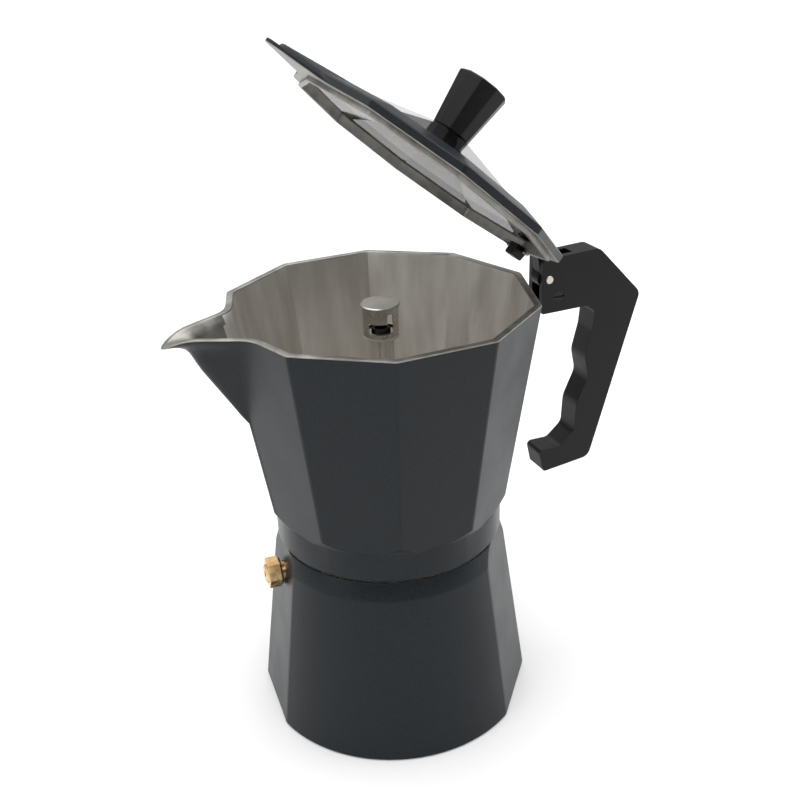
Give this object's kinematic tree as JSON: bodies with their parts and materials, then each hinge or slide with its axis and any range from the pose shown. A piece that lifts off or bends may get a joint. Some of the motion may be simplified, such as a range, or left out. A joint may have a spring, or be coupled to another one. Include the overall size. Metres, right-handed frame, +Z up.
{
  "type": "moka pot",
  "caption": "Ten-sided stovetop moka pot with screw-on collector, beak spout, side handle and a hinged lid with a clear window, lid standing part open.",
  "frame": {"origin": "centre of the boiler's flat underside", "axes": "+Z up the pot's axis, +X towards the handle, -X towards the spout"},
  "size_m": [0.1725, 0.1016, 0.2375],
  "materials": {
    "coated_aluminium": "dark satin coating outside, bare brushed metal inside and on the rim",
    "bare_aluminium": "turned",
    "polished_steel": "polished",
    "steel": "zinc plated",
    "brass": "machined",
    "black_plastic": "satin moulded",
    "clear_plastic": "clear",
    "white_rubber": "moulded",
    "black_rubber": "moulded"
  },
  "bodies": {
    "boiler": {"boiler": "coated_aluminium", "valve_body": "brass", "valve_washer": "black_rubber", "valve_spring": "steel", "valve_retainer": "brass"},
    "valve_pin": {"valve_pin": "brass"},
    "funnel": {"funnel": "bare_aluminium", "funnel_sieve": "bare_aluminium"},
    "seal": {"gasket": "white_rubber", "filter_plate": "bare_aluminium"},
    "collector": {"collector": "coated_aluminium", "column_cap": "polished_steel", "handle": "black_plastic", "handle_screw": "steel", "hinge_pin": "polished_steel"},
    "lid": {"lid_ring": "coated_aluminium", "lid_window": "clear_plastic", "lid_arm": "black_plastic", "arm_screws": "steel", "knob": "black_plastic", "knob_collar": "black_plastic", "knob_washer": "black_rubber", "knob_screw": "steel"}
  },
  "joints": [
    {"name": "collector_unscrew", "type": "hinge", "parent": "seal", "child": "collector", "pos_m": [0, 0, 0.08], "axis": [0, 0, 1], "range_deg": [0, 1080]},
    {"name": "seal_rise", "type": "slide", "parent": "boiler", "child": "seal", "axis": [0, 0, 1], "range_m": [0, 0.0091]},
    {"name": "funnel_lift", "type": "slide", "parent": "boiler", "child": "funnel", "axis": [0, 0, 1], "range_m": [0, 0.0046]},
    {"name": "lid_hinge", "type": "hinge", "parent": "collector", "child": "lid", "pos_m": [0.0622, 0, 0.15], "axis": [0, 1, 0], "range_deg": [-41.1, 48]},
    {"name": "valve_pop", "type": "slide", "parent": "boiler", "child": "valve_pin", "axis": [-0.9962, 0.0872, 0], "range_m": [0, 0.0015], "stiffness_N_per_m": 500, "springref_m": -0.002, "deforming": ["valve_spring"]}
  ],
  "couplings": [
    {"joint": "seal_rise", "follows": "collector_unscrew", "m_per_rad": 0.00047746},
    {"joint": "funnel_lift", "follows": "collector_unscrew", "m_per_rad": 0.00023873}
  ]
}
